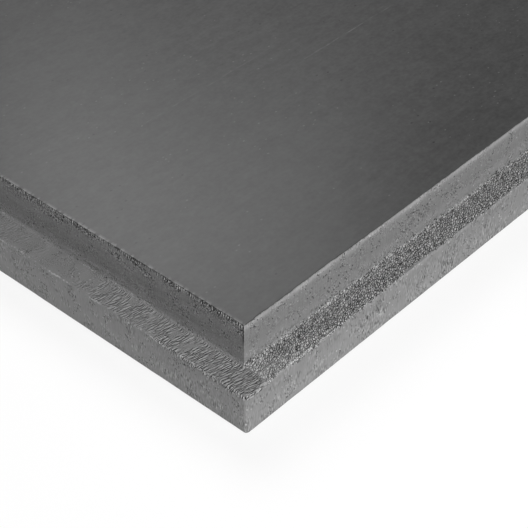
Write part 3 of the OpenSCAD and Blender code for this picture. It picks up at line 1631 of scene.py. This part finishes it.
def bearing(azimuth_deg: float, elevation_deg: float) -> Vector:
    """Works out a direction.

    Args:
        azimuth_deg: Its turn from X.
        elevation_deg: Its rise above level.

    Returns:
        A vector one metre long.
    """
    turn, rise = math.radians(azimuth_deg), math.radians(elevation_deg)
    level = math.cos(rise)
    return Vector((math.cos(turn) * level, math.sin(turn) * level, math.sin(rise)))


def turned_to(thing: bpy.types.Object, place: Vector, gaze: Vector) -> bpy.types.Object:
    """Puts a camera or a lamp in its place, facing one way.

    Args:
        thing: The camera or lamp.
        place: Its place, in metres.
        gaze: The way that it faces.

    Returns:
        The same camera or lamp.
    """
    thing.location = place
    thing.rotation_mode = "QUATERNION"
    thing.rotation_quaternion = gaze.to_track_quat("-Z", "Y")
    return thing


@dataclass(frozen=True)
class Camera:
    """The camera, placed from the outer, lower corner of the lips."""

    offset_mm: tuple[float, float, float] = (-358.8, -335.0, 515.4)
    azimuth_deg: float = 42.08
    down_deg: float = 39.88
    lens_mm: float = 101.67
    sensor_mm: float = 36.0
    sees_m: tuple[float, float] = (0.05, 50.0)

    def build(self, corner: Vector) -> None:
        """Makes the camera and looks through it.

        Args:
            corner: The corner that the offset is from, in metres.
        """
        data = bpy.data.cameras.new("camera")
        data.lens = self.lens_mm
        data.sensor_width = self.sensor_mm
        data.clip_start, data.clip_end = self.sees_m
        place = corner + Vector(self.offset_mm) * METRES_PER_MM
        gaze = bearing(self.azimuth_deg, -self.down_deg)
        bpy.context.scene.camera = turned_to(added("camera", data), place, gaze)


@dataclass(frozen=True)
class Softbox:
    """A square lamp with a soft face, turned towards a point."""

    name: str
    azimuth_deg: float
    elevation_deg: float
    side_m: float
    power_w: float
    distance_m: float = 2.2
    aim_m: tuple[float, float, float] = (-0.45, -0.15, 0.03)

    def build(self) -> None:
        """Makes the lamp."""
        data = bpy.data.lights.new(self.name, "AREA")
        data.shape = "SQUARE"
        data.size = self.side_m
        data.energy = self.power_w
        away = bearing(self.azimuth_deg, self.elevation_deg)
        turned_to(added(self.name, data), Vector(self.aim_m) + away * self.distance_m, -away)


def seen_directly(weave: Weave) -> Socket:
    """1 where the camera sees a thing itself, or sees it in metal or glass.

    Args:
        weave: The material or world that asks.

    Returns:
        1 for those rays, and 0 for the rays that carry light.
    """
    share = weave.add("LightPath", out="Is Camera Ray")
    rays = share.node.outputs
    for kind in ("Is Glossy Ray", "Is Transmission Ray"):
        share = weave.add("Math", share, rays[kind], operation="MAXIMUM")
    return share


@dataclass(frozen=True)
class Studio:
    """A pale floor in a white room that only the lamps light."""

    floor_side_m: float = 14.0
    # How far the floor lies below the board, so that the two don't flicker
    floor_gap_m: float = 0.0004
    paper_colour: str = "#f6f6f6"
    paper_roughness: float = 0.9
    # Share of plain white in the paper, seen directly: the rest keeps a soft shadow
    plain_white: float = 0.8
    lamps: tuple[Softbox, ...] = (
        Softbox("back_softbox", 47.0, 46.0, 0.7, 22.0),
        Softbox("back_right_softbox", 62.0, 42.0, 0.7, 11.2),
        Softbox("front_softbox", 240.0, 34.0, 1.0, 22.0),
        Softbox("front_right_softbox", 255.0, 45.0, 1.0, 25.0),
    )

    def build(self) -> None:
        """Makes the floor, the room and the lamps."""
        self.build_floor()
        self.build_room()
        for lamp in self.lamps:
            lamp.build()
        LOG.info("studio: floor, room and %d lamps", len(self.lamps))

    def build_floor(self) -> None:
        """Makes the floor: paper that the camera sees as nearly plain white."""
        half = self.floor_side_m / 2
        mesh = bpy.data.meshes.new("studio_floor")
        corners = [(-half, -half, 0), (half, -half, 0), (half, half, 0), (-half, half, 0)]
        mesh.from_pydata(corners, [], [(0, 1, 2, 3)])
        floor = added("studio_floor", mesh)
        floor.location.z = -self.floor_gap_m
        weave = Weave.start("white_paper")
        paper = {
            "Base Color": linear(self.paper_colour),
            "Roughness": self.paper_roughness,
            "Specular IOR Level": 0.0,
        }
        weave.fill(weave.shader, paper)
        white = weave.add("Emission", linear(WHITE), 1.0)
        share = weave.add("Math", seen_directly(weave), self.plain_white, operation="MULTIPLY")
        mixed = weave.add("MixShader", share, weave.shader.outputs[0], white)
        weave.fill(weave.tree.nodes["Material Output"], {"Surface": mixed})
        mesh.materials.append(weave.owner)

    def build_room(self) -> None:
        """Makes the room: white to look at, and no light on anything."""
        world = bpy.data.worlds.new("white_room")
        bpy.context.scene.world = world
        world.use_nodes = True
        weave = Weave(world)
        background = {"Color": linear(WHITE), "Strength": seen_directly(weave)}
        weave.fill(weave.tree.nodes["Background"], background)


# ------------------------------------------------------------------------ main


def main() -> None:
    """Builds the camera, the studio and the board."""
    logging.basicConfig(level=logging.INFO, format="%(name)s: %(message)s")
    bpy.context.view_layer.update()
    bpy.context.scene.view_settings.view_transform = "Standard"
    node = "insulation_board"
    low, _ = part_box(node)
    Camera().build(low)
    LOG.info("camera: in place")
    Studio().build()
    size = BoardSize.from_frame(node, frame["record"])
    LOG.info("sizes: %s", size)
    finishes = {
        Surface.SKIN: ExtrudedSkin(),
        Surface.MILLED: MilledFoam(),
        Surface.SAWN: SawnFoam(),
        Surface.CRUMBLED: CrumbledFoam(),
        Surface.COMBED: CombedFoam(),
    }
    board = LappedBoard(size, "root", node, "xps_foam")
    board.build([finishes[surface].material() for surface in Surface])


if __name__ == "__main__":
    main()
